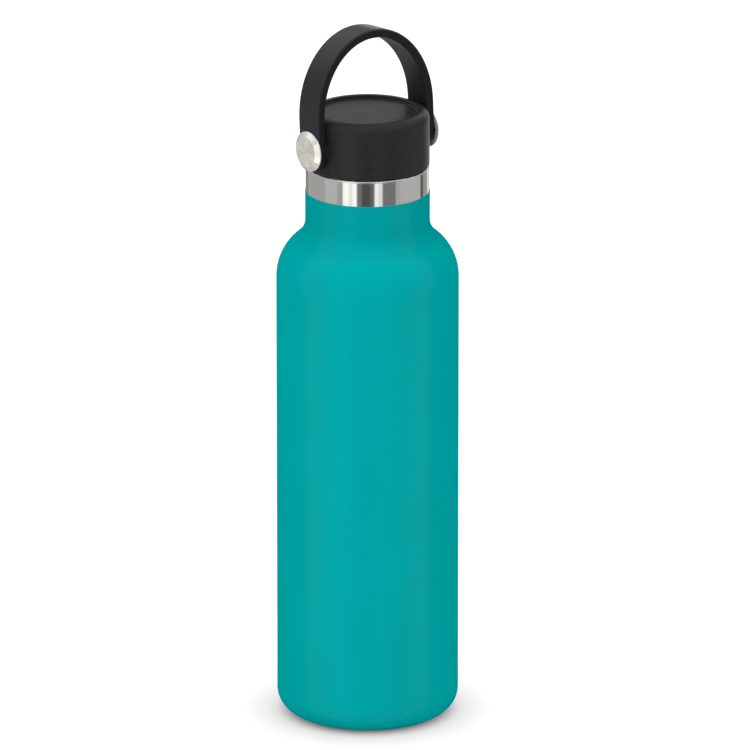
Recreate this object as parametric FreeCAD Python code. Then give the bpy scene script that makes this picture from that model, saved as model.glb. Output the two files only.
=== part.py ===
"""Insulated water bottle: a double-wall vacuum bottle with a screw lid and a swinging carry handle.

Units are millimetres, +Z is up, and the origin is the centre of the face the bottle stands on.
The handle's pivot axis runs along X. Every function below makes one physical piece, and each piece
is written to parts/NODE.step under the name a person would use for it.
"""
import FreeCAD, Part
import math
import os

from FreeCAD import Vector

# ---- driving dimensions -------------------------------------------------------------------------
BODY_RADIUS = 36.5          # over the paint
NECK_RADIUS = 24.9          # over the paint
BASE_CORNER = 9.5           # rounding between the wall and the standing face
SHOULDER_START = 182.8      # height where the straight wall ends
SHOULDER_ROUND = 21.2       # convex rounding from the wall
NECK_ROUND = 8.9            # concave rounding into the neck
PAINT_LINE = 218.6          # masked edge of the powder coat; bare steel shows above it
COAT = 0.2                  # powder coat thickness
STEEL = 0.45                # sheet thickness of both walls
WELD_HEIGHT = 11.0          # seam between the wall and the pressed base

STAND_INNER = 22.6          # inner edge of the standing ring
COAT_STAND_INNER = 24.0     # the coat stops on the standing ring
BASE_RECESS = 2.6           # height of the recessed underside
BASE_RECESS_RADIUS = 20.8
COVER_RADIUS = 19.6
COVER_THICK = 0.4
PORT_RADIUS = 1.2           # hole the air is drawn out through
BEAD_RADIUS = 2.6

LINER_RADIUS = 32.4         # outside of the inner bottle
LINER_SHOULDER_START = 183.4
LINER_SHOULDER_ROUND = 18.0
LINER_NECK_ROUND = 10.0
LINER_NECK_RADIUS = 22.5
LINER_FLOOR = 8.2           # underside of the inner bottle
LINER_CORNER = 9.0
LINER_WELD_HEIGHT = 20.0
LIP_TOP = 228.9
LIP_THICK = 0.8

THREAD_LEAD = 6.0           # single start, right-handed
THREAD_TURNS = 1.25
THREAD_BASE = 2.6           # ridge width at its root, inside the wall
THREAD_CREST = 1.4          # ridge width at its crest
THREAD_SINK = 0.3           # how far a ridge's root is let into its wall
FEMALE_CREST_RADIUS = 20.9
FEMALE_START = 217.1        # height of the ridge's middle where it starts
MALE_CREST_RADIUS = 21.5
MALE_START = 216.5
FLANK_GAP = 0.3             # upright clearance on the flanks that carry the seal's load

LID_RADIUS = 24.75
LID_BOTTOM = 229.2
LID_TOP = 252.0
LID_TOP_ROUND = 4.0
LID_BOTTOM_ROUND = 0.9
LID_RECESS_RADIUS = 19.6
LID_RECESS_DEPTH = 1.3
LID_RECESS_ROUND = 0.5
LID_ROOF = 2.0
LID_WALL_INNER = 22.4
LID_SKIRT_INNER = 23.55
LID_STEP = 233.4            # shoulder inside the cap that the plug's flange is welded to

PLUG_RADIUS = 20.3
PLUG_BORE = 18.2
PLUG_BOTTOM = 213.5
PLUG_DISH = 0.8             # how far the middle of its underside is set in
PLUG_FLOOR = 1.8
PLUG_FLANGE_RADIUS = 23.5
PLUG_FLANGE_BOTTOM = 231.1

PIVOT_HEIGHT = 239.5
STRAP_INNER = 25.2          # half the gap between the strap's legs
STRAP_THICK = 3.6
STRAP_WIDTH = 13.2
STRAP_END_DROP = 1.4        # centre of a leg's round end, below the pivot
STRAP_LEG = 12.2            # straight part of each leg above the pivot
STRAP_RISE = 33.5           # from there to the top of the arch, outside
HANDLE_LEAN = 3.5           # degrees the handle leans back, towards +Y, where it rests
STRAP_EDGE_ROUND = 0.8

PAD_RADIUS = 6.1            # flat on the cap that the strap turns against
PAD_FACE = 24.8
BOSS_RADIUS = 5.0
BOSS_INNER = 16.0
INSERT_RADIUS = 3.0
INSERT_LENGTH = 7.0
PRESS_GAP = 0.02            # left between pieces that are pressed together
RUN_GAP = 0.05              # left between pieces that turn on each other
BOLT_HEAD_RADIUS = 8.1
BOLT_FACE_RADIUS = 6.25
BOLT_FACE = 30.9            # distance of the bolt's outer face from the bottle's axis
BOLT_RIM = 0.45
BOLT_SHOULDER_RADIUS = 3.5
BOLT_SHANK_RADIUS = 2.0
BUSH_RADIUS = 4.4
INNER_WASHER_RADIUS = 6.0
OUTER_WASHER_RADIUS = 6.5
OUTER_WASHER = 0.25

STRAP_OUTER = STRAP_INNER + STRAP_THICK


# ---- outline helpers: a point is (radius, height) -----------------------------------------------
def point(radius, height):
    return Vector(radius, 0, height)


def line(a, b):
    return Part.makeLine(point(*a), point(*b))


def arc(centre, radius, start_deg, end_deg):
    """Arc in the radius-height plane, from start to end by the shorter way between the two angles."""
    def at(deg):
        angle = math.radians(deg)
        return point(centre[0] + radius * math.cos(angle), centre[1] + radius * math.sin(angle))
    return Part.Arc(at(start_deg), at((start_deg + end_deg) / 2), at(end_deg)).toShape()


def outline(*steps):
    """Closed outline from points and arcs, joined by straight lines where they don't meet."""
    edges = []
    first = last = None
    for step in steps:
        if isinstance(step, tuple):
            begin = end = point(*step)
            edge = None
        else:
            edge = step
            begin = edge.valueAt(edge.FirstParameter)
            end = edge.valueAt(edge.LastParameter)
        if first is None:
            first = begin
        elif (begin - last).Length > 1e-6:
            edges.append(Part.makeLine(last, begin))
        if edge is not None:
            edges.append(edge)
        last = end
    if (first - last).Length > 1e-6:
        edges.append(Part.makeLine(last, first))
    return Part.Wire(edges)


def turned(*steps):
    """Solid of revolution about the bottle's axis."""
    face = Part.Face(outline(*steps))
    solid = face.revolve(Vector(0, 0, 0), Vector(0, 0, 1), 360)
    return upright(solid)


def upright(shape):
    """The one solid of a shape, turned the right way out."""
    if len(shape.Solids) > 1:
        raise RuntimeError("the shape falls into " + str(len(shape.Solids)) + " solids")
    solid = shape.Solids[0] if shape.Solids else Part.makeSolid(shape)
    if solid.Volume < 0:
        solid.reverse()
    return solid


def cross_rod(radius, start_x, end_x, height=PIVOT_HEIGHT):
    """Cylinder along X at the pivot's height, between two x positions."""
    low, high = min(start_x, end_x), max(start_x, end_x)
    return Part.makeCylinder(radius, high - low, Vector(low, 0, height), Vector(1, 0, 0))


def on_pivot(shape, side):
    """Lay a turned piece along the pivot axis, pointing out of the left (-1) or right (+1) side."""
    shape.rotate(Vector(0, 0, 0), Vector(0, 1, 0), side * 90)
    shape.translate(Vector(0, 0, PIVOT_HEIGHT))
    return shape


def shoulder_arcs(radius, start, convex, concave, neck, down):
    """Two arcs, tangent to each other, that lead a wall up into its neck, or the neck down to the wall."""
    across = (neck + concave) - (radius - convex)
    rise = math.sqrt((convex + concave) ** 2 - across ** 2)
    meet = math.degrees(math.atan2(rise, across))
    wall_centre = (radius - convex, start)
    neck_centre = (neck + concave, start + rise)
    if down:
        return arc(neck_centre, concave, 180, 180 + meet), arc(wall_centre, convex, meet, 0)
    return arc(wall_centre, convex, 0, meet), arc(neck_centre, concave, 180 + meet, 180)


def wall_arcs(inset, down=False):
    """The outer wall's shoulder arcs, moved inwards by inset."""
    return shoulder_arcs(BODY_RADIUS - inset, SHOULDER_START, SHOULDER_ROUND - inset, NECK_ROUND + inset,
                         NECK_RADIUS - inset, down)


def liner_arcs(inset, down=False):
    """The inner bottle's shoulder arcs, moved inwards by inset."""
    return shoulder_arcs(LINER_RADIUS - inset, LINER_SHOULDER_START, LINER_SHOULDER_ROUND - inset,
                         LINER_NECK_ROUND + inset, LINER_NECK_RADIUS - inset, down)


def corner_arc(inset, start_deg, end_deg):
    """The rounding at the foot of the wall, moved inwards by inset."""
    centre = (BODY_RADIUS - BASE_CORNER, BASE_CORNER)
    return arc(centre, BASE_CORNER - inset, start_deg, end_deg)


def thread_ridge(root_radius, crest_radius, start_height, start_turn):
    """Helical ridge whose middle follows the thread's lead. It stands out of its wall at root_radius.

    Its flanks cross the wall's surface at a slant, with no corner on it, so that the two fuse cleanly.
    """
    outward = 1 if crest_radius > root_radius else -1
    root = root_radius - outward * THREAD_SINK
    corners = [(root, -THREAD_BASE / 2), (crest_radius, -THREAD_CREST / 2),
               (crest_radius, THREAD_CREST / 2), (root, THREAD_BASE / 2)]
    profile = Part.makePolygon([point(*c) for c in corners] + [point(*corners[0])])
    helix = Part.makeHelix(THREAD_LEAD, THREAD_LEAD * THREAD_TURNS, root_radius)
    ridge = Part.Wire(helix).makePipeShell([profile], True, True)
    ridge.translate(Vector(0, 0, start_height))
    ridge.rotate(Vector(0, 0, 0), Vector(0, 0, 1), 360 * start_turn)
    return upright(ridge)


def ridge_width(root_radius, crest_radius, radius):
    """How wide a ridge is, measured upright, at a radius between its root and its crest."""
    root = root_radius - math.copysign(THREAD_SINK, crest_radius - root_radius)
    share = (radius - root) / (crest_radius - root)
    return THREAD_BASE + share * (THREAD_CREST - THREAD_BASE)


def with_ridge(body, ridge):
    """Body and ridge as one solid. Stops if the ridge doesn't stand out of the body."""
    whole = upright(body.fuse(ridge))
    if whole.Volume < body.Volume + ridge.Volume / 2:
        raise RuntimeError("the thread's ridge is lost in its wall")
    return whole


# ---- the bottle ---------------------------------------------------------------------------------
def powder_coat():
    outer_up, outer_in = wall_arcs(0)
    inner_out, inner_down = wall_arcs(COAT, down=True)
    return turned(
        (COAT_STAND_INNER, 0), corner_arc(0, 270, 360), outer_up, outer_in,
        arc((NECK_RADIUS - COAT, PAINT_LINE - COAT), COAT, 0, 90),
        inner_out, inner_down, corner_arc(COAT, 360, 270), (COAT_STAND_INNER, COAT))


def outer_shell():
    outer_up, outer_in = wall_arcs(COAT)
    inner_out, inner_down = wall_arcs(COAT + STEEL, down=True)
    top = LIP_TOP - LIP_THICK
    return turned(
        (BODY_RADIUS - COAT, WELD_HEIGHT), outer_up, outer_in, (NECK_RADIUS - COAT, top),
        (NECK_RADIUS - COAT - STEEL, top), inner_out, inner_down,
        (BODY_RADIUS - COAT - STEEL, WELD_HEIGHT))


def base_cup():
    """Pressed base: the corner, the standing ring, and a recess with a dimple for the vacuum port."""
    top = BASE_RECESS + STEEL
    dimple = 1.0
    dimple_radius = 5.5
    return turned(
        (PORT_RADIUS, BASE_RECESS + dimple), (dimple_radius - 1.0, BASE_RECESS + dimple),
        (dimple_radius, BASE_RECESS), (BASE_RECESS_RADIUS, BASE_RECESS), (STAND_INNER, COAT),
        corner_arc(COAT, 270, 360), (BODY_RADIUS - COAT, WELD_HEIGHT),
        (BODY_RADIUS - COAT - STEEL, WELD_HEIGHT), corner_arc(COAT + STEEL, 360, 270),
        (STAND_INNER + STEEL / 2, COAT + STEEL), (BASE_RECESS_RADIUS + STEEL / 2, top),
        (dimple_radius + STEEL / 2, top), (dimple_radius - 1.0 + STEEL / 2, top + dimple),
        (PORT_RADIUS, top + dimple))


def base_cover():
    """Thin disc over the recess that hides the port, with a shallow ring pressed into it."""
    low = BASE_RECESS - COVER_THICK
    high = BASE_RECESS - PRESS_GAP
    ring = 0.5
    return turned(
        (0, low), (9.0, low), (10.0, low - ring), (12.0, low - ring), (13.0, low), (COVER_RADIUS, low),
        (COVER_RADIUS, high), (12.8, high), (11.8, high - ring), (10.2, high - ring), (9.2, high), (0, high))


def sealing_bead():
    """Glass bead melted into the dimple to close the port."""
    floor = BASE_RECESS + 1.0
    drop = 0.8
    sphere = (BEAD_RADIUS ** 2 + drop ** 2) / (2 * drop)
    half = math.degrees(math.asin(BEAD_RADIUS / sphere))
    stem = PORT_RADIUS - PRESS_GAP
    return turned(
        (0, floor + STEEL), (stem, floor + STEEL), (stem, floor),
        arc((0, floor - drop + sphere), sphere, 270 + half, 270))


def inner_liner():
    """Inner bottle: wall, shoulder, threaded neck and the rolled lip that closes the vacuum space."""
    outer_up, outer_in = liner_arcs(0)
    inner_out, inner_down = liner_arcs(STEEL, down=True)
    under_lip = LIP_TOP - LIP_THICK
    neck_inner = LINER_NECK_RADIUS - STEEL
    lip_round = 0.5
    lip_outer = NECK_RADIUS - COAT
    shell = turned(
        (LINER_RADIUS, LINER_WELD_HEIGHT), outer_up, outer_in, (LINER_NECK_RADIUS, under_lip),
        (lip_outer, under_lip), arc((lip_outer - lip_round, LIP_TOP - lip_round), lip_round, 0, 90),
        arc((neck_inner + lip_round, LIP_TOP - lip_round), lip_round, 90, 180),
        inner_out, inner_down, (LINER_RADIUS - STEEL, LINER_WELD_HEIGHT))
    ridge = thread_ridge(neck_inner, FEMALE_CREST_RADIUS, FEMALE_START, 0)
    return with_ridge(shell, ridge)


def liner_base():
    """Pressed floor of the inner bottle, welded into its wall."""
    centre = (LINER_RADIUS - LINER_CORNER, LINER_FLOOR + LINER_CORNER)
    return turned(
        (0, LINER_FLOOR), arc(centre, LINER_CORNER, 270, 360), (LINER_RADIUS, LINER_WELD_HEIGHT),
        (LINER_RADIUS - STEEL, LINER_WELD_HEIGHT), arc(centre, LINER_CORNER - STEEL, 360, 270),
        (0, LINER_FLOOR + STEEL))


def getter_holder():
    """Small steel cup, spot-welded under the inner bottle, that holds the getter."""
    radius, height, wall = 5.0, 2.0, 0.3
    top = LINER_FLOOR - PRESS_GAP
    cup = Part.makeCylinder(radius, height, Vector(0, 0, top - height))
    pocket = Part.makeCylinder(radius - wall, height - wall, Vector(0, 0, top - height))
    return upright(cup.cut(pocket))


def getter_pellet():
    """Pressed pellet that absorbs stray gas in the vacuum space."""
    radius, height = 4.6, 1.5
    top = LINER_FLOOR - PRESS_GAP - 0.3 - PRESS_GAP
    return Part.makeCylinder(radius, height, Vector(0, 0, top - height))


# ---- the lid ------------------------------------------------------------------------------------
def lid_gasket():
    """Silicone ring between the plug's flange and the bottle's lip, with two sealing ribs below."""
    inner, outer = PLUG_RADIUS + RUN_GAP * 2, PLUG_FLANGE_RADIUS - RUN_GAP * 2
    low, high = LIP_TOP + RUN_GAP, PLUG_FLANGE_BOTTOM - RUN_GAP
    rib = 0.35
    seat = low + rib
    ribs = (22.35, 23.0)
    return turned(
        (inner, seat), (ribs[0] - rib, seat), arc((ribs[0], seat), rib, 180, 360),
        (ribs[1] - 0.28, seat), arc((ribs[1], seat), 0.28, 180, 360),
        (outer, seat), (outer, high), (inner, high))


def lid_cap():
    """Moulded cap: rounded top edge, shallow recess, thin skirt, and two bored bosses for the pivots."""
    floor = LID_TOP - LID_RECESS_DEPTH
    roof = floor - LID_ROOF
    wall = turned(
        (LID_SKIRT_INNER, LID_BOTTOM),
        arc((LID_RADIUS - LID_BOTTOM_ROUND, LID_BOTTOM + LID_BOTTOM_ROUND), LID_BOTTOM_ROUND, 270, 360),
        arc((LID_RADIUS - LID_TOP_ROUND, LID_TOP - LID_TOP_ROUND), LID_TOP_ROUND, 0, 90),
        arc((LID_RECESS_RADIUS + LID_RECESS_ROUND, LID_TOP - LID_RECESS_ROUND), LID_RECESS_ROUND, 90, 180),
        arc((LID_RECESS_RADIUS - LID_RECESS_ROUND, floor + LID_RECESS_ROUND), LID_RECESS_ROUND, 360, 270),
        (0, floor), (0, roof), (LID_WALL_INNER - 1.5, roof), (LID_WALL_INNER, roof - 1.5),
        (LID_WALL_INNER, LID_STEP), (LID_SKIRT_INNER, LID_STEP))
    for side in (-1, 1):
        wall = wall.fuse(cross_rod(PAD_RADIUS, side * (LID_WALL_INNER + 0.5), side * PAD_FACE))
        wall = wall.fuse(cross_rod(BOSS_RADIUS, side * BOSS_INNER, side * (LID_WALL_INNER + 0.5)))
    for side in (-1, 1):
        depth = PAD_FACE - INSERT_LENGTH - 0.5
        wall = wall.cut(cross_rod(INSERT_RADIUS + PRESS_GAP, side * depth, side * (PAD_FACE + 2)))
    return upright(wall.removeSplitter())


def lid_plug():
    """Hollow stopper with the lid's thread. Its flange is welded inside the cap."""
    flange_top = LID_STEP - PRESS_GAP
    dished = PLUG_BOTTOM + PLUG_DISH
    floor = dished + PLUG_FLOOR
    chamfer = 1.2
    cup = turned(
        (0, dished), (12.0, dished), (13.0, PLUG_BOTTOM),
        (PLUG_RADIUS - chamfer, PLUG_BOTTOM), (PLUG_RADIUS, PLUG_BOTTOM + chamfer),
        (PLUG_RADIUS, PLUG_FLANGE_BOTTOM), (PLUG_FLANGE_RADIUS, PLUG_FLANGE_BOTTOM),
        (PLUG_FLANGE_RADIUS, flange_top), (PLUG_BORE, flange_top), (PLUG_BORE, floor), (0, floor))
    # The ridge sits under the bottle's ridge, so that its upper flank carries the seal's load.
    shared_radius = (MALE_CREST_RADIUS + FEMALE_CREST_RADIUS) / 2
    male_width = ridge_width(PLUG_RADIUS, MALE_CREST_RADIUS, shared_radius)
    female_width = ridge_width(LINER_NECK_RADIUS - STEEL, FEMALE_CREST_RADIUS, shared_radius)
    drop = (male_width + female_width) / 2 + FLANK_GAP
    start_turn = (MALE_START - (FEMALE_START - drop)) / THREAD_LEAD
    ridge = thread_ridge(PLUG_RADIUS, MALE_CREST_RADIUS, MALE_START, start_turn)
    return with_ridge(cup, ridge)


def lid_foam():
    """Insulating foam that fills the plug and reaches up between the pivot bosses."""
    gap = 0.15
    low = PLUG_BOTTOM + PLUG_DISH + PLUG_FLOOR + gap
    step = LID_STEP
    high = LID_TOP - LID_RECESS_DEPTH - LID_ROOF - gap
    return turned((0, low), (PLUG_BORE - gap, low), (PLUG_BORE - gap, step), (BOSS_INNER - 1.2, step),
                  (BOSS_INNER - 1.2, high), (0, high))


def threaded_insert(side):
    """Brass insert pressed into a boss, with two grooves that the plastic grips."""
    outer_end = PAD_FACE - RUN_GAP
    inner_end = outer_end - INSERT_LENGTH
    bore = BOLT_SHANK_RADIUS + RUN_GAP
    steps = [(bore, inner_end), (INSERT_RADIUS, inner_end)]
    for share in (0.33, 0.66):
        middle = inner_end + share * INSERT_LENGTH
        low, high, floor = middle - 0.4, middle + 0.4, INSERT_RADIUS - 0.3
        steps += [(INSERT_RADIUS, low), (floor, low), (floor, high), (INSERT_RADIUS, high)]
    return on_pivot(turned(*steps, (INSERT_RADIUS, outer_end), (bore, outer_end)), side)


def pivot_bolt(side):
    """Shoulder bolt: a wide bevelled head, a plain shoulder the handle turns on, and a shank."""
    seat = STRAP_OUTER + RUN_GAP + OUTER_WASHER
    rim = seat + BOLT_RIM
    shank_end = PAD_FACE - INSERT_LENGTH + 0.6
    bolt = turned(
        (0, shank_end), (BOLT_SHANK_RADIUS - 0.4, shank_end), (BOLT_SHANK_RADIUS, shank_end + 0.4),
        (BOLT_SHANK_RADIUS, PAD_FACE), (BOLT_SHOULDER_RADIUS, PAD_FACE), (BOLT_SHOULDER_RADIUS, seat),
        (BOLT_HEAD_RADIUS, seat), (BOLT_HEAD_RADIUS, rim), (BOLT_FACE_RADIUS, BOLT_FACE), (0, BOLT_FACE))
    return on_pivot(bolt, side)


def washer(side, outer_radius, start, thick):
    """Flat ring on a bolt's shoulder, starting at the given distance from the bottle's axis."""
    ring = cross_rod(outer_radius, side * start, side * (start + thick))
    hole = cross_rod(BOLT_SHOULDER_RADIUS + RUN_GAP, side * (start - 1), side * (start + thick + 1))
    return upright(ring.cut(hole))


def inner_washer(side):
    start = PAD_FACE + PRESS_GAP
    return washer(side, INNER_WASHER_RADIUS, start, STRAP_INNER - RUN_GAP - start)


def outer_washer(side):
    return washer(side, OUTER_WASHER_RADIUS, STRAP_OUTER + RUN_GAP, OUTER_WASHER - PRESS_GAP)


# ---- the handle ---------------------------------------------------------------------------------
def strap_front():
    """The strap's shape seen from the front: two legs and an elliptical arch, as a flat face."""
    arch = PIVOT_HEIGHT + STRAP_LEG
    foot = PIVOT_HEIGHT - STRAP_END_DROP - STRAP_WIDTH / 2

    def half_ellipse(half_width, rise):
        whole = Part.Ellipse(point(0, arch + rise), point(half_width, arch), point(0, arch))
        return Part.ArcOfEllipse(whole, -math.pi / 2, math.pi / 2).toShape()

    edges = [half_ellipse(STRAP_OUTER, STRAP_RISE), half_ellipse(STRAP_INNER, STRAP_RISE - STRAP_THICK)]
    for side in (-1, 1):
        outer, inner = side * STRAP_OUTER, side * STRAP_INNER
        edges.append(line((outer, arch), (outer, foot)))
        edges.append(line((outer, foot), (inner, foot)))
        edges.append(line((inner, foot), (inner, arch)))
    return Part.Face(Part.Wire(Part.__sortEdges__(edges)))


def strap_side():
    """The strap's shape seen from the side: a straight band with a round end below the pivot."""
    half = STRAP_WIDTH / 2
    low = PIVOT_HEIGHT - STRAP_END_DROP
    top = PIVOT_HEIGHT + STRAP_LEG + STRAP_RISE + 5

    def at(y, z):
        return Vector(0, y, z)

    return Part.Face(Part.Wire([
        Part.Arc(at(-half, low), at(0, low - half), at(half, low)).toShape(),
        Part.makeLine(at(half, low), at(half, top)),
        Part.makeLine(at(half, top), at(-half, top)),
        Part.makeLine(at(-half, top), at(-half, low))]))


def is_corner(edge):
    """True for an edge that runs along the strap, false for one that crosses its face or its side."""
    run = edge.lastVertex().Point - edge.firstVertex().Point
    crosses = abs(run.z) < 1e-6 and (abs(run.x) < 1e-6 or abs(run.y) < 1e-6)
    return not (crosses and isinstance(edge.Curve, Part.Line))


def handle_strap():
    """Bent strap with rounded edges and a bored eye near the end of each leg, leaning back a little."""
    front = strap_front().extrude(Vector(0, 2 * STRAP_WIDTH, 0))
    front.translate(Vector(0, -STRAP_WIDTH, 0))
    side = strap_side().extrude(Vector(4 * STRAP_OUTER, 0, 0))
    side.translate(Vector(-2 * STRAP_OUTER, 0, 0))
    strap = upright(front.common(side))
    strap = strap.makeFillet(STRAP_EDGE_ROUND, [edge for edge in strap.Edges if is_corner(edge)])
    bore = cross_rod(BUSH_RADIUS + PRESS_GAP, -2 * STRAP_OUTER, 2 * STRAP_OUTER)
    strap = upright(strap.cut(bore))
    strap.rotate(Vector(0, 0, PIVOT_HEIGHT), Vector(1, 0, 0), -HANDLE_LEAN)
    return strap


def strap_bush(side):
    """Hard sleeve moulded into an eye, which turns on the bolt's shoulder."""
    ring = cross_rod(BUSH_RADIUS, side * STRAP_INNER, side * STRAP_OUTER)
    hole = cross_rod(BOLT_SHOULDER_RADIUS + RUN_GAP, side * (STRAP_INNER - 1), side * (STRAP_OUTER + 1))
    return upright(ring.cut(hole))


PIECES = {
    "powder_coat": powder_coat,
    "outer_shell": outer_shell,
    "base_cup": base_cup,
    "base_cover": base_cover,
    "sealing_bead": sealing_bead,
    "inner_liner": inner_liner,
    "liner_base": liner_base,
    "getter_holder": getter_holder,
    "getter_pellet": getter_pellet,
    "lid_gasket": lid_gasket,
    "lid_cap": lid_cap,
    "lid_plug": lid_plug,
    "lid_foam": lid_foam,
    "handle_strap": handle_strap,
}
PAIRED_PIECES = {
    "threaded_insert": threaded_insert,
    "pivot_bolt": pivot_bolt,
    "inner_washer": inner_washer,
    "outer_washer": outer_washer,
    "strap_bush": strap_bush,
}
SIDES = {"left": -1, "right": 1}


def write(node, shape):
    if not shape.isValid():
        raise RuntimeError(node + " isn't a valid solid")
    shape.exportStep("parts/" + node + ".step")
    print(node, "solids", len(shape.Solids), "volume", round(shape.Volume, 1))


os.makedirs("parts", exist_ok=True)
for node, make in PIECES.items():
    write(node, make())
for name, make in PAIRED_PIECES.items():
    for side, sign in SIDES.items():
        write(name + "_" + side, make(sign))
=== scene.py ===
"""The insulated water bottle's looks: materials, studio and camera. All of its shapes are the CAD model's.

Everything is in metres in the CAD model's frame: +Z up, origin under the middle of the base, and the
handle's pivot along X. A length times MM is given in millimetres.
"""

import math

import bpy
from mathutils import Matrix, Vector


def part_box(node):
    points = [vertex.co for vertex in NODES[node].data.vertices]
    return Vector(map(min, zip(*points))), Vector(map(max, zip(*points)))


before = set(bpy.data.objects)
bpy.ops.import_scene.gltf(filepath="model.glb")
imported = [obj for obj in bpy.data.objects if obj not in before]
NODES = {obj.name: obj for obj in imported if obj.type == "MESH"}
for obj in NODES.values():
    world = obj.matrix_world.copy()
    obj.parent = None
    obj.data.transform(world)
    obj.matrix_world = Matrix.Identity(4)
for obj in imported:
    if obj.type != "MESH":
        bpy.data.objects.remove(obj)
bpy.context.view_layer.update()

MM = 0.001

# ---- where things are, from the CAD model -------------------------------------------------------
PIVOT_HEIGHT = sum(corner[2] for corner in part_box("pivot_bolt_left")) / 2
BOLT_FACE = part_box("pivot_bolt_right")[1][0]        # distance of the bolts' outer faces from the axis
BLASTED_DEPTH = 1.8 * MM                            # a bolt's blasted finish starts this far under its face
PAINT_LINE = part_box("powder_coat")[1][2]
NECK_SHADE_START = PAINT_LINE - 22 * MM              # painted shade: the coat is painted a little darker from here up
NECK_SHADE_BLEND = 6 * MM
SCUFF_HEIGHT = 5 * MM                               # scuffs fade out over this height from the base

# ---- camera -------------------------------------------------------------------------------------
CAMERA_AZIMUTH = -37.0      # degrees; 0 looks along +Y
CAMERA_ELEVATION = 17.6
CAMERA_DISTANCE = 4.5
CAMERA_LENS = 539.0         # mm on a 36 mm sensor
AIM_RIGHT = 2.97 * MM       # the aim point is this far right of the bottle's axis
AIM_HEIGHT = 140.9 * MM


# ---- node helpers -------------------------------------------------------------------------------
class Nodes:
    """A node tree, self.tree, with short calls for what materials and the world both use."""

    def link(self, source, target):
        self.tree.links.new(source, target)

    def node(self, kind, **settings):
        made = self.tree.nodes.new(kind)
        for key, value in settings.items():
            setattr(made, key, value)
        return made

    def put(self, target, value):
        """Set an input to a number or colour, or link it to another node's output."""
        if isinstance(value, bpy.types.NodeSocket):
            self.link(value, target)
        elif isinstance(value, (tuple, list)) and len(value) == 3 and target.type == "RGBA":
            target.default_value = (*value, 1)
        else:
            target.default_value = value

    def math(self, operation, a, b=0.0, c=0.0):
        made = self.node("ShaderNodeMath", operation=operation)
        for socket, value in zip(made.inputs, (a, b, c)):
            self.put(socket, value)
        return made.outputs[0]

    def axes(self, vector):
        """The vector's x, y and z."""
        made = self.node("ShaderNodeSeparateXYZ")
        self.link(vector, made.inputs[0])
        return made.outputs


class Shader(Nodes):
    """A material's node tree. Its surface is one Principled BSDF."""

    def __init__(self, name):
        self.material = bpy.data.materials.new(name)
        self.material.use_nodes = True
        self.tree = self.material.node_tree
        self.surface = self.tree.nodes["Principled BSDF"]

    def set(self, **inputs):
        """Set the surface's inputs. An underscore stands for a space in an input's name."""
        for name, value in inputs.items():
            self.put(self.surface.inputs[name.replace("_", " ")], value)

    def position(self):
        """Position in the CAD model's frame at rest. It stays with the piece when the piece moves."""
        return self.node("ShaderNodeTexCoord").outputs["Object"]

    def join(self, x, y, z):
        made = self.node("ShaderNodeCombineXYZ")
        for socket, value in zip(made.inputs, (x, y, z)):
            self.put(socket, value)
        return made.outputs[0]

    def scaled(self, vector, factors):
        made = self.node("ShaderNodeVectorMath", operation="MULTIPLY")
        self.link(vector, made.inputs[0])
        made.inputs[1].default_value = factors
        return made.outputs[0]

    def noise(self, vector, size_mm, detail=2.0, roughness=0.5):
        """Noise whose features are about size_mm across."""
        made = self.node("ShaderNodeTexNoise")
        self.link(vector, made.inputs["Vector"])
        made.inputs["Scale"].default_value = 1 / (size_mm * MM)
        made.inputs["Detail"].default_value = detail
        made.inputs["Roughness"].default_value = roughness
        return made.outputs["Fac"]

    def spread(self, value, from_low, from_high, to_low, to_high):
        """The value moved from one range to another, and held at the new range's ends."""
        made = self.node("ShaderNodeMapRange", clamp=True)
        self.put(made.inputs["Value"], value)
        made.inputs["From Min"].default_value = from_low
        made.inputs["From Max"].default_value = from_high
        made.inputs["To Min"].default_value = to_low
        made.inputs["To Max"].default_value = to_high
        return made.outputs[0]

    def mix(self, share, a, b):
        """Colour a with that share of colour b. The node has its colours at inputs 6 and 7."""
        made = self.node("ShaderNodeMix", data_type="RGBA")
        self.put(made.inputs[0], share)
        self.put(made.inputs[6], a)
        self.put(made.inputs[7], b)
        return made.outputs[2]

    def bump(self, height, depth_mm, strength=1.0, under=None):
        """Bump whose height runs from 0 to 1 over depth_mm."""
        made = self.node("ShaderNodeBump")
        made.inputs["Strength"].default_value = strength
        made.inputs["Distance"].default_value = depth_mm * MM
        self.link(height, made.inputs["Height"])
        if under is not None:
            self.link(under, made.inputs["Normal"])
        return made.outputs[0]


def srgb(red, green, blue):
    """Linear colour from 0-255 display values."""
    def linear(value):
        value /= 255
        return value / 12.92 if value <= 0.04045 else ((value + 0.055) / 1.055) ** 2.4
    return linear(red), linear(green), linear(blue)


def shade(colour, factor):
    return tuple(channel * factor for channel in colour)


STEEL_TONE = srgb(222, 220, 216)
CHARCOAL = srgb(32, 31, 32)
STRAP_TONE = srgb(31, 28, 32)


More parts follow.
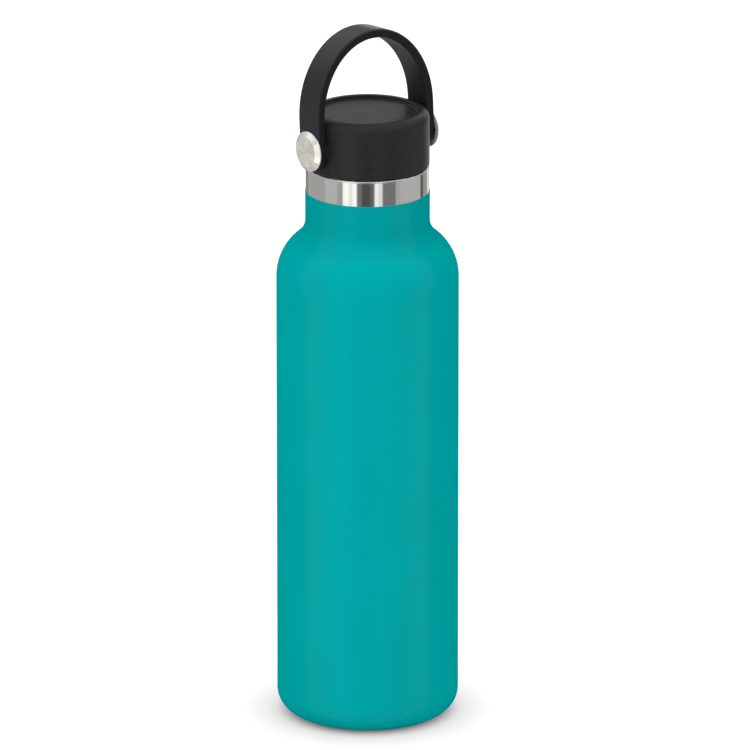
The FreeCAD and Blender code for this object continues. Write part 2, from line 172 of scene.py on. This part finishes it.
# ---- materials ----------------------------------------------------------------------------------
def powder_coat():
    """Fine orange peel, slightly uneven in colour and sheen, scuffed at the base, with painted shade on the
    neck.
    """
    s = Shader("powder_coat")
    where = s.position()
    teal = (0.0, 0.330, 0.338)
    cloud = s.noise(where, 35, 3)
    colour = s.mix(s.spread(cloud, 0.3, 0.7, 0, 1), shade(teal, 0.97), shade(teal, 1.03))
    grain = s.noise(where, 0.9, 3, 0.6)
    fine = s.noise(where, 0.3, 2)
    colour = s.mix(s.spread(fine, 0.35, 0.65, 0, 0.10), colour, shade(teal, 0.8))
    height = s.axes(where)[2]
    low = s.spread(height, 0.2 * MM, SCUFF_HEIGHT, 1, 0)
    scuffs = s.math("MULTIPLY", low, s.spread(s.noise(where, 1.6, 4, 0.7), 0.55, 0.75, 0, 0.35))
    colour = s.mix(scuffs, colour, shade(teal, 0.55))
    # painted shade: the neck's coat is darkened where the lid and shoulder shade it
    neck = s.spread(height, NECK_SHADE_START, NECK_SHADE_START + NECK_SHADE_BLEND, 0, 0.6)
    colour = s.mix(neck, colour, shade(teal, 0.8))
    facing = s.node("ShaderNodeLayerWeight").outputs["Facing"]
    s.set(Base_Color=colour, Roughness=s.spread(grain, 0.3, 0.7, 0.32, 0.40), IOR=1.5,
          Specular_IOR_Level=s.spread(facing, 0.10, 0.32, 0.5, 0.0), Specular_Tint=(0.0, 0.85, 1.0, 1.0),
          Normal=s.bump(fine, 0.008, 0.5, s.bump(grain, 0.02, 0.5)))
    return s.material


def metal(name, tone, roughness, grain_mm, squeeze=(1, 1, 1), depth_mm=0.002):
    """Worked metal. A squeeze above 1 narrows its grain along that axis, below 1 draws it out into lines."""
    s = Shader(name)
    where = s.position()
    smear = s.noise(where, 12, 3)
    lines = s.noise(s.scaled(where, squeeze), grain_mm, 3, 0.7)
    colour = s.mix(s.spread(smear, 0.3, 0.7, 0, 1), shade(tone, 0.96), shade(tone, 1.02))
    smeared = s.spread(smear, 0.3, 0.7, -0.01, 0.02)
    brushed = s.spread(lines, 0.3, 0.7, roughness * 0.85, roughness * 1.2)
    s.set(Base_Color=colour, Metallic=1.0, Roughness=s.math("ADD", smeared, brushed),
          Normal=s.bump(lines, depth_mm, 0.4))
    return s.material


def turned_steel():
    """Faced bolt head: fine rings, faint painted reflections in sectors and a centre mark, a polished bevel
    and a blasted back.
    """
    s = Shader("turned_steel")
    face_radius = 6.2 * MM
    x, y, z = s.axes(s.position())
    up = s.math("SUBTRACT", z, PIVOT_HEIGHT)
    radius = s.math("SQRT", s.math("ADD", s.math("MULTIPLY", y, y), s.math("MULTIPLY", up, up)))
    rings = s.noise(s.join(radius, 0.0, 0.0), 0.12, 2, 0.7)
    round_ways = s.join(s.math("DIVIDE", y, radius), s.math("DIVIDE", up, radius), 0.0)
    painted_sectors = s.noise(s.scaled(round_ways, (MM, MM, MM)), 0.9, 1, 0.5)     # painted reflection in sectors, the same all along a radius
    tone = srgb(241, 238, 229)
    on_face = s.spread(radius, face_radius - 0.1 * MM, face_radius + 0.1 * MM, 1, 0)
    dot = s.spread(radius, 0.25 * MM, 0.5 * MM, 0.45, 0)
    colour = s.mix(s.spread(rings, 0.35, 0.65, 0, 0.5), tone, shade(tone, 0.86))
    # painted reflection: sectors of the face painted darker, as a turned face's sheen would show
    colour = s.mix(s.spread(painted_sectors, 0.4, 0.6, 0, 0.6), colour, shade(tone, 0.7))
    colour = s.mix(dot, colour, shade(tone, 0.45))
    rough = s.spread(on_face, 0, 1, 0.12, 0.36)
    back = BOLT_FACE - BLASTED_DEPTH
    blasted = s.spread(s.math("ABSOLUTE", x), back, back + 0.05 * MM, 1, 0)
    s.set(Base_Color=colour, Metallic=s.spread(blasted, 0, 1, 0.6, 0.1), Roughness=rough,
          Anisotropic=s.spread(on_face, 0, 1, 0, 0.75), Normal=s.bump(rings, 0.004, 0.5))
    tangent = s.node("ShaderNodeTangent", direction_type="RADIAL", axis="X")
    s.link(tangent.outputs[0], s.surface.inputs["Tangent"])
    return s.material


def moulded(name, colour, roughness, grain_mm=0.28, depth_mm=0.02, mottle=0.25, sheen=0.35):
    """Matte moulded plastic with a fine spark-eroded texture and a slightly uneven sheen."""
    s = Shader(name)
    where = s.position()
    broad = s.noise(where, 14, 3)
    grain = s.noise(where, grain_mm, 3, 0.6)
    tone = s.mix(s.spread(broad, 0.3, 0.7, 0, 1), shade(colour, 0.95), shade(colour, 1.05))
    tone = s.mix(s.spread(grain, 0.35, 0.7, 0, mottle), tone, shade(colour, 1.5))
    rough = s.math("ADD", s.spread(broad, 0.3, 0.7, -0.03, 0.03), roughness)
    s.set(Base_Color=tone, Roughness=rough, IOR=1.46, Specular_IOR_Level=sheen,
          Normal=s.bump(grain, depth_mm, 0.5))
    return s.material


def strap_plastic():
    """Soft matte plastic. The strap's sides are duller than its faces and have painted shade, darker than
    the faces.
    """
    s = Shader("strap_plastic")
    where = s.position()
    broad = s.noise(where, 14, 3)
    grain = s.noise(where, 0.25, 3, 0.6)
    tone = s.mix(s.spread(broad, 0.3, 0.7, 0, 1), shade(STRAP_TONE, 0.95), shade(STRAP_TONE, 1.05))
    tone = s.mix(s.spread(grain, 0.35, 0.7, 0, 0.25), tone, shade(STRAP_TONE, 1.5))
    facing = s.axes(s.node("ShaderNodeTexCoord").outputs["Normal"])[1]
    side = s.spread(s.math("ABSOLUTE", facing), 0.9, 0.99, 0, 1)
    # painted shade: the sides are painted darker than the faces; their lower sheen is the plastic's own
    tone = s.mix(side, tone, shade(STRAP_TONE, 0.7))
    s.set(Base_Color=tone, Roughness=s.spread(broad, 0.3, 0.7, 0.26, 0.31), IOR=1.5,
          Specular_IOR_Level=s.spread(side, 0, 1, 0.3, 0.12), Normal=s.bump(grain, 0.012, 0.5))
    return s.material


def silicone():
    s = Shader("silicone")
    where = s.position()
    tone = srgb(176, 178, 176)
    dust = s.noise(where, 0.5, 4, 0.7)
    colour = s.mix(s.spread(dust, 0.5, 0.75, 0, 0.3), tone, shade(tone, 0.8))
    s.set(Base_Color=colour, Roughness=0.45, IOR=1.41, Subsurface_Weight=0.2, Subsurface_Scale=0.5 * MM,
          Normal=s.bump(dust, 0.01, 0.3))
    return s.material


def foam():
    s = Shader("foam")
    where = s.position()
    cells = s.node("ShaderNodeTexVoronoi")
    s.link(where, cells.inputs["Vector"])
    cells.inputs["Scale"].default_value = 1 / (0.7 * MM)
    tone = srgb(228, 226, 218)
    s.set(Base_Color=s.mix(s.spread(cells.outputs["Distance"], 0, 0.7, 0, 0.35), tone, shade(tone, 0.7)),
          Roughness=0.9, Normal=s.bump(cells.outputs["Distance"], 0.1, 0.6))
    return s.material


def sealing_glass():
    s = Shader("sealing_glass")
    cloud = s.noise(s.position(), 0.8, 3)
    s.set(Base_Color=s.mix(cloud, srgb(60, 72, 66), srgb(84, 96, 88)), Roughness=0.12, IOR=1.52,
          Coat_Weight=0.5, Normal=s.bump(cloud, 0.02, 0.3))
    return s.material


def getter_powder():
    s = Shader("getter_powder")
    grit = s.noise(s.position(), 0.15, 4, 0.7)
    s.set(Base_Color=s.mix(grit, srgb(70, 68, 66), srgb(120, 117, 112)), Metallic=0.4, Roughness=0.8,
          Normal=s.bump(grit, 0.05, 0.8))
    return s.material


MATERIALS = {
    "powder_coat": powder_coat(),
    "collar": metal("polished_collar", STEEL_TONE, 0.07, 0.5, (0.05, 0.05, 3), 0.001),
    "liner": metal("liner_steel", STEEL_TONE, 0.28, 0.3, (0.1, 0.1, 2)),
    "pressing": metal("pressed_steel", STEEL_TONE, 0.3, 0.35),
    "turned": turned_steel(),
    "lid": moulded("lid_plastic", CHARCOAL, 0.38, 1.0, 0.05, mottle=0.8, sheen=0.22),
    "plug": moulded("plug_plastic", srgb(52, 50, 53), 0.4, 0.4, 0.01),
    "strap": strap_plastic(),
    "bush": moulded("bush_plastic", srgb(60, 60, 62), 0.35, 0.5, 0.005),
    "washer": moulded("acetal", srgb(40, 39, 41), 0.4, 0.5, 0.005),
    "silicone": silicone(),
    "foam": foam(),
    "glass": sealing_glass(),
    "getter": getter_powder(),
    "brass": metal("turned_brass", srgb(196, 160, 90), 0.25, 0.2, (2, 0.1, 0.1)),
}
NODE_MATERIALS = {
    "powder_coat": "powder_coat", "outer_shell": "collar", "base_cup": "pressing", "base_cover": "pressing",
    "sealing_bead": "glass", "inner_liner": "liner", "liner_base": "liner", "getter_holder": "pressing",
    "getter_pellet": "getter", "lid_gasket": "silicone", "lid_cap": "lid", "lid_plug": "plug",
    "lid_foam": "foam", "handle_strap": "strap",
}
PAIRED_MATERIALS = {
    "threaded_insert": "brass", "pivot_bolt": "turned", "inner_washer": "washer", "outer_washer": "bush",
    "strap_bush": "bush",
}
for name, look in PAIRED_MATERIALS.items():
    for side in ("left", "right"):
        NODE_MATERIALS[name + "_" + side] = look


for node, look in NODE_MATERIALS.items():
    for slot in NODES[node].material_slots:
        slot.material = MATERIALS[look]


# ---- studio -------------------------------------------------------------------------------------
SOFT_LIGHT = 0.95           # brightness all round
FRONT_EXTRA = 0.25          # how much brighter it is on the camera's side
FRONT_TURN = -4             # degrees; that side, turned towards the viewer's left
WHITE = (1, 1, 1)
BACKDROP = 1.05             # brightness behind the bottle
KEY_TURN = -30              # degrees; the key light is to the viewer's left
KEY_ELEVATION = 55
KEY_DISTANCE = 1.6
KEY_SIZE = 1.0
KEY_POWER = 5               # watts
KEY_AIM_HEIGHT = 140 * MM
FLOOR_SIZE = 60
FLOOR_BOUNCE = 0.85         # how pale the floor is to light, which it throws up at the bottle
SHADOW_REACH = 45 * MM      # the bottle darkens the floor to this distance
SHADOW_DEPTH = 0.12         # brightness of the floor where it is quite shut in
SHADOW_CLEAR = 1.25         # and where it is quite open
OVERHEAD = 1.0              # brightness overhead, mirrored in what faces up
OVERHEAD_START = 0.45       # sine of the elevation where it takes over from the panels
OVERHEAD_BLEND = 0.3
OVERHEAD_TINT = (0.97, 1.0, 1.03)
PANEL_BLEND = 3             # degrees over which neighbouring panels blend
# What polished steel mirrors, going round the bottle: (where a panel starts, its brightness). The
# starts are in degrees from the camera's side, positive to the viewer's right.
PANELS = [
    (-180, 0.28), (-146, 0.46), (-86, 0.58), (-58, 0.44), (-47, 1.34), (-35, 1.08), (-28, 1.34),
    (-20, 0.22), (-11, 0.10), (5, 0.17), (13, 1.20), (20, 0.98), (28, 0.22), (54, 0.50), (64, 0.56),
    (117, 0.13), (127, 0.38), (147, 0.85),
]


def direction(azimuth, elevation):
    """Unit vector from the bottle towards a viewer at that azimuth and elevation, in degrees."""
    a, e = math.radians(azimuth), math.radians(elevation)
    return Vector((math.sin(a) * math.cos(e), -math.cos(a) * math.cos(e), math.sin(e)))


def aim(obj, target):
    obj.rotation_euler = (Vector(target) - obj.location).to_track_quat("-Z", "Y").to_euler()


def add_camera():
    data = bpy.data.cameras.new("camera")
    data.lens = CAMERA_LENS
    data.sensor_width = 36
    data.clip_end = 100
    camera = bpy.data.objects.new("camera", data)
    bpy.context.scene.collection.objects.link(camera)
    azimuth = math.radians(CAMERA_AZIMUTH)
    right = Vector((math.cos(azimuth), math.sin(azimuth), 0))
    target = right * AIM_RIGHT + Vector((0, 0, AIM_HEIGHT))
    camera.location = target + direction(CAMERA_AZIMUTH, CAMERA_ELEVATION) * CAMERA_DISTANCE
    aim(camera, target)
    bpy.context.scene.camera = camera


def add_key_light():
    """Large soft light from the upper left. Nothing mirrors it."""
    data = bpy.data.lights.new("key", "AREA")
    data.shape = "SQUARE"
    data.size = KEY_SIZE
    data.energy = KEY_POWER
    light = bpy.data.objects.new("key", data)
    bpy.context.scene.collection.objects.link(light)
    target = Vector((0, 0, KEY_AIM_HEIGHT))
    light.location = target + direction(CAMERA_AZIMUTH + KEY_TURN, KEY_ELEVATION) * KEY_DISTANCE
    aim(light, target)
    light.visible_glossy = False


def add_floor():
    """White ground. The camera sees it glow white, less so where the bottle stands in its way."""
    bpy.ops.mesh.primitive_plane_add(size=FLOOR_SIZE, location=(0, 0, 0))
    floor = bpy.context.object
    floor.name = "floor"
    floor.visible_glossy = False
    s = Shader("floor")
    s.set(Base_Color=(FLOOR_BOUNCE, FLOOR_BOUNCE, FLOOR_BOUNCE), Roughness=0.9, Specular_IOR_Level=0.0)
    open_sky = s.node("ShaderNodeAmbientOcclusion", samples=24)
    open_sky.inputs["Distance"].default_value = SHADOW_REACH
    glow = s.node("ShaderNodeEmission")
    s.link(s.spread(open_sky.outputs["AO"], 0.0, 1.0, SHADOW_DEPTH, SHADOW_CLEAR), glow.inputs["Strength"])
    seen = s.node("ShaderNodeLightPath")
    choose = s.node("ShaderNodeMixShader")
    s.link(seen.outputs["Is Camera Ray"], choose.inputs[0])
    s.link(s.surface.outputs[0], choose.inputs[1])
    s.link(glow.outputs[0], choose.inputs[2])
    s.link(choose.outputs[0], s.tree.nodes["Material Output"].inputs[0])
    floor.data.materials.append(s.material)


class Sky(Nodes):
    """The world's node tree, with the direction a ray leaves in as turn and height."""

    def __init__(self):
        world = bpy.data.worlds.new("studio")
        bpy.context.scene.world = world
        world.use_nodes = True
        world.cycles.sampling_method = "NONE"
        self.tree = world.node_tree
        self.tree.nodes.clear()
        x, y, self.height = self.axes(self.node("ShaderNodeTexCoord").outputs["Generated"])
        azimuth = self.math("ARCTAN2", x, self.math("MULTIPLY", y, -1.0))
        # turn from the camera's side of the bottle, positive to the viewer's right, in radians
        self.turn = self.math("WRAP", self.math("SUBTRACT", azimuth, math.radians(CAMERA_AZIMUTH)),
                              math.pi, -math.pi)

    def step(self, value, start, blend, height):
        """0 below start, height above it, blended over blend."""
        made = self.node("ShaderNodeMapRange", clamp=True, interpolation_type="SMOOTHSTEP")
        self.put(made.inputs["Value"], value)
        made.inputs["From Min"].default_value = start - blend / 2
        made.inputs["From Max"].default_value = start + blend / 2
        made.inputs["To Max"].default_value = height
        return made.outputs[0]

    def light(self, colour, strength):
        made = self.node("ShaderNodeBackground")
        self.put(made.inputs[0], colour)
        self.put(made.inputs[1], strength)
        return made.outputs[0]

    def choose(self, switch, otherwise, chosen):
        """The light chosen where switch is 1, otherwise where it is 0."""
        made = self.node("ShaderNodeMixShader")
        for socket, value in zip(made.inputs, (switch, otherwise, chosen)):
            self.put(socket, value)
        return made.outputs[0]


def panel_brightness(sky):
    """Brightness of the upright panels in a ray's direction."""
    brightness = PANELS[0][1]
    for (_, before), (start, level) in zip(PANELS, PANELS[1:]):
        change = sky.step(sky.turn, math.radians(start), math.radians(PANEL_BLEND), level - before)
        brightness = sky.math("ADD", brightness, change)
    return brightness


def add_world():
    """Even soft light on everything, white behind the bottle, and upright studio panels in what is shiny."""
    sky = Sky()
    panels = sky.light(WHITE, panel_brightness(sky))
    overhead = sky.light(OVERHEAD_TINT, OVERHEAD)
    shiny = sky.choose(sky.step(sky.height, OVERHEAD_START, OVERHEAD_BLEND, 1.0), panels, overhead)
    front = sky.math("COSINE", sky.math("SUBTRACT", sky.turn, math.radians(FRONT_TURN)))
    soft = sky.light(WHITE, sky.math("MULTIPLY_ADD", front, FRONT_EXTRA, SOFT_LIGHT))
    path = sky.node("ShaderNodeLightPath")
    seen = sky.choose(path.outputs["Is Glossy Ray"], soft, shiny)
    seen = sky.choose(path.outputs["Is Camera Ray"], seen, sky.light(WHITE, BACKDROP))
    sky.link(seen, sky.node("ShaderNodeOutputWorld").inputs[0])


add_camera()
add_floor()
add_world()
add_key_light()
bpy.context.scene.view_settings.view_transform = "Standard"
